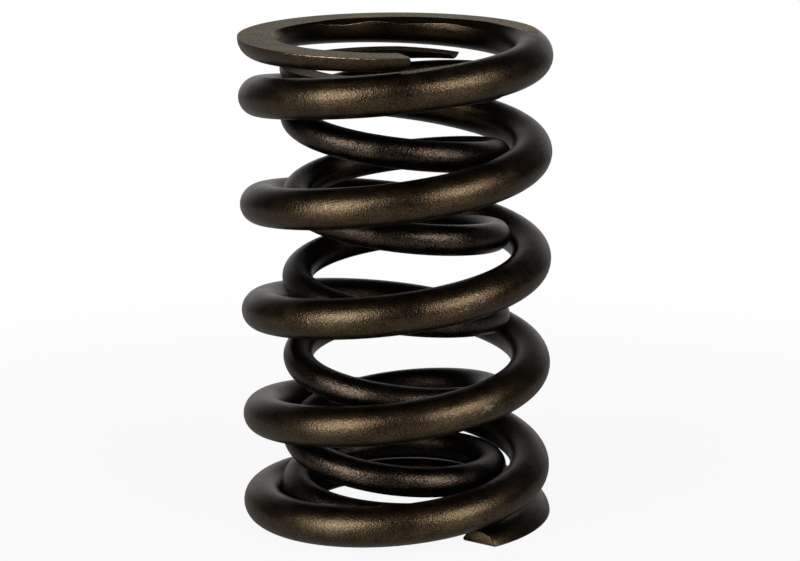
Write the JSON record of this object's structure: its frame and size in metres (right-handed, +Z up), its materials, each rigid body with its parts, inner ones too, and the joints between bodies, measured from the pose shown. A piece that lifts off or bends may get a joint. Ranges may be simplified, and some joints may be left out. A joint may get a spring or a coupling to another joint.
{
  "type": "engine valve spring",
  "caption": "Dual valve spring: a round-wire compression coil with closed, ground ends and a smaller coil of opposite hand inside it, standing on one seat.",
  "frame": {"origin": "centre of the outer coil's ground lower face, on the spring axis", "axes": "+Z runs up the spring axis to the retainer; -Y faces the side on which the outer coil's tips end"},
  "size_m": [0.0396, 0.0395, 0.0619],
  "materials": {
    "outer_spring_steel": "shot-peened, dark brown-black oil-tempered skin; ground flats bare grey-brown",
    "inner_spring_steel": "shot-peened, dark brown oil-tempered skin; ground flats bare grey-brown"
  },
  "bodies": {
    "root": {"outer_spring": "outer_spring_steel", "inner_spring": "inner_spring_steel"}
  },
  "joints": []
}
